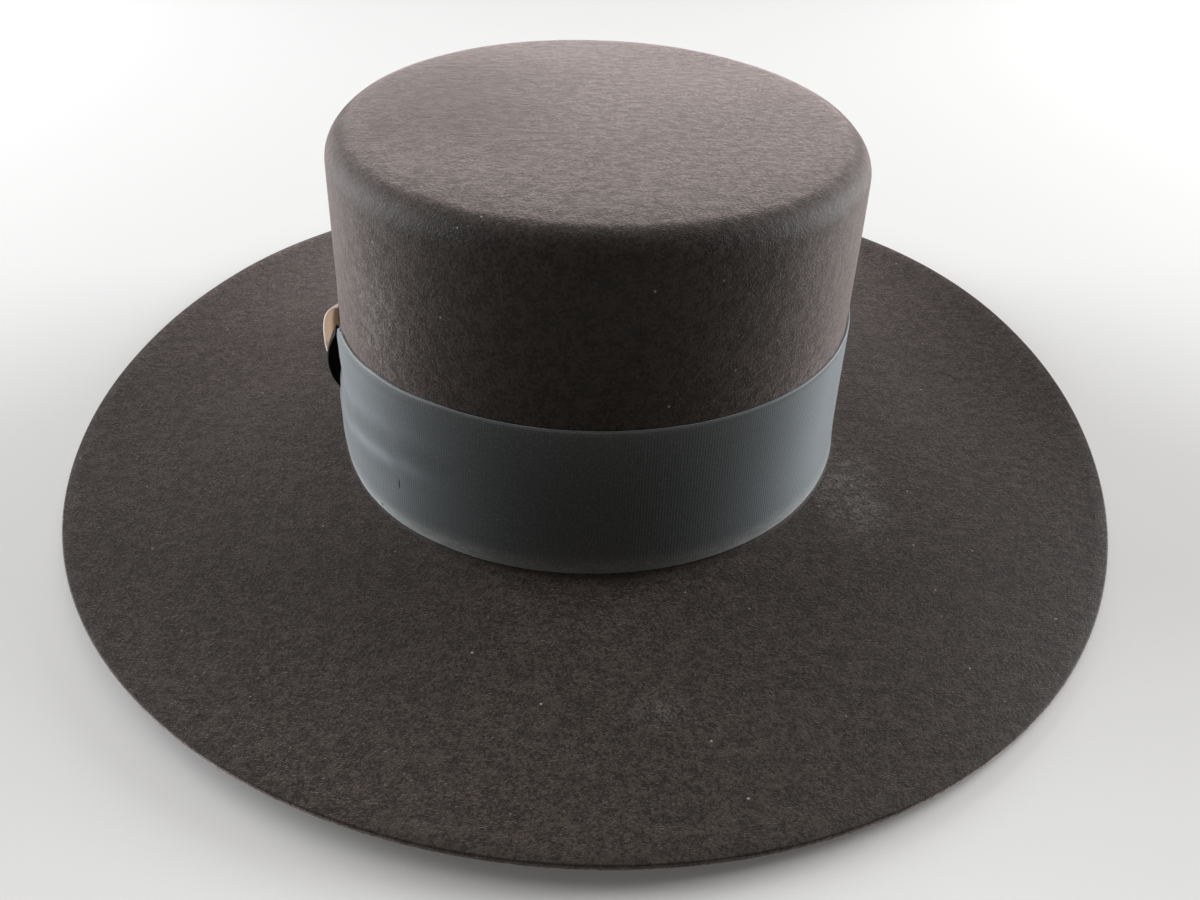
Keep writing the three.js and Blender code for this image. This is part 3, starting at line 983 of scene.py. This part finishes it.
nick = mark(ribbon_finish, along, up, -42.4, 14.8, 0.35, 1.9)
dot = mark(ribbon_finish, along, up, -48.5, 1.6, 0.6, 0.6)
ribbon_finish.feed("Base Color", ribbon_colour)
ribbon_finish.feed("Roughness", 0.48 + foot_dust_and_sheen * 0.3)
plain_line = 1 - ribbon_finish.maths("MAXIMUM", top_line, foot_line)
ribbon_height = weave * plain_line + 0.6 * (1 - plain_line) - nick * 0.8
ribbon_normal = ribbon_finish.bump(ribbon_height, 0.00003, 0.8)
ribbon_finish.feed("Normal", ribbon_normal)
ribbon_finish.lay_over(
    nick * 0.8 + dot * 0.8,
    ribbon_normal,
    Base_Color=(0.004, 0.004, 0.004, 1),
    Roughness=0.8,
    Specular_IOR_Level=0.1,
)
# Pale blue-grey patches near the knot: partly rubbed wear, partly painted sheen of the side-lit
# cloth.
before_knot = ribbon_finish.step(along, ROUND[-1] - RUBBED_AND_SHEEN_FAR, ROUND[-1] - RUBBED_AND_SHEEN_NEAR)
near_knot = ribbon_finish.step(along, RUBBED_AND_SHEEN_FAR, RUBBED_AND_SHEEN_NEAR) + before_knot
rubbed_and_sheen_patches = ribbon_finish.grain(ribbon_finish.scaled(cloth, 0.06, 0.10, 1), 1.0, 3.0, 0.6)
ribbon_finish.lay_over(
    near_knot * ribbon_finish.step(rubbed_and_sheen_patches, 0.30, 0.70) * 0.09,
    ribbon_normal,
    Base_Color=(0.42, 0.46, 0.50, 1),
    Roughness=0.8,
)
ribbon_finish.on(ribbon)

# %% [markdown]
# ## Knot and feather finishes
# The knot is the same kind of ribbon in black, kept near black as painted shade. The feather is
# tan, with fine barbs that sweep away from a paler shaft, a dark band near its root that is
# painted shadow between the vane and the crown, and a silky gloss.

# %% Knot finish
knot_finish = Finish(
    "black corded ribbon with painted shade",
    Specular_IOR_Level=0.1,
    Sheen_Weight=0.02,
    Sheen_Roughness=0.4,
)
# The near-black colour is partly the ribbon's black and partly painted shade of the knot's hollow.
blacks_and_shade = ((0.0006, 0.0006, 0.0007, 1), (0.0022, 0.0022, 0.0024, 1))
_, _, _, knot_weave, knot_colour = corded(knot_finish, blacks_and_shade, 0.8)
knot_finish.feed("Base Color", knot_colour)
knot_finish.feed("Roughness", 0.62 + knot_weave * 0.1)
knot_finish.feed("Normal", knot_finish.bump(knot_weave, 0.00012, 1.0))
knot_finish.on(knot, inner_fold_shade)

# %% Feather finish
feather_finish = Finish(
    "tan feather",
    Subsurface_Weight=0.8,
    Subsurface_Radius=(1.0, 0.9, 0.8),
    Subsurface_Scale=0.003,
    Specular_IOR_Level=0.4,
    Sheen_Weight=0.25,
    Sheen_Roughness=0.35,
    Sheen_Tint=(1.0, 0.93, 0.86, 1),
)
barbs = feather_finish.node("ShaderNodeUVMap", {"uv_map": "barbs"})
down = feather_finish.part(barbs, 0)
across = feather_finish.maths("ABSOLUTE", feather_finish.part(barbs, 1))
hairs = feather_finish.maths("SINE", down * (FEATHER_LENGTH * math.tau / 0.55)) * 0.5 + 0.5
streaks = feather_finish.grain(feather_finish.scaled(barbs, 46.0, 1.6, 1), 1.0, 3.0, 0.6)
mottled = feather_finish.grain(feather_finish.scaled(barbs, 9.0, 1.2, 1), 1.0, 2.0, 0.5)
tan = feather_finish.colours(streaks, (0.47, 0.31, 0.245, 1), (0.84, 0.63, 0.53, 1))
blotches = feather_finish.step(mottled, 0.52, 0.66) * 0.4
tan = feather_finish.colours(blotches, tan, (0.20, 0.135, 0.10, 1))
pale_edge = feather_finish.step(across, 0.78, 1.0) * 0.4
tan = feather_finish.colours(pale_edge, tan, (0.62, 0.58, 0.52, 1))
ragged = down + (streaks - 0.5) * 0.05
# A dark band near the root is painted shadow: the shade between the cupped vane and the crown.
painted_shadow_bar = feather_finish.step(ragged, 0.045, 0.085) * feather_finish.step(ragged, 0.24, 0.17)
painted_shadow_bar = painted_shadow_bar * (1 - feather_finish.step(across, 0.86, 1.0)) * 0.85
tan = feather_finish.colours(painted_shadow_bar, tan, (0.045, 0.03, 0.024, 1))
feather_finish.feed("Base Color", tan)
feather_finish.feed("Roughness", 0.46 + streaks * 0.2)
feather_finish.feed("Normal", feather_finish.bump(hairs * 0.6 + streaks * 0.4, 0.00015, 1.0))
feather_finish.on(feather)

# %% Shaft finish
shaft_finish = Finish("pale feather shaft", Specular_IOR_Level=0.5)
spot = shaft_finish.node("ShaderNodeTexCoord", output=3)
lines = shaft_finish.grain(shaft_finish.scaled(spot, 900.0, 60.0, 900.0), 1.0, 2.0, 0.5)
shaft_colour = shaft_finish.colours(lines, (0.42, 0.33, 0.24, 1), (0.66, 0.57, 0.45, 1))
shaft_finish.feed("Base Color", shaft_colour)
shaft_finish.feed("Roughness", 0.35 + lines * 0.15)
shaft_finish.feed("Normal", shaft_finish.bump(lines, 0.00005, 0.6))
shaft_finish.on(shaft)
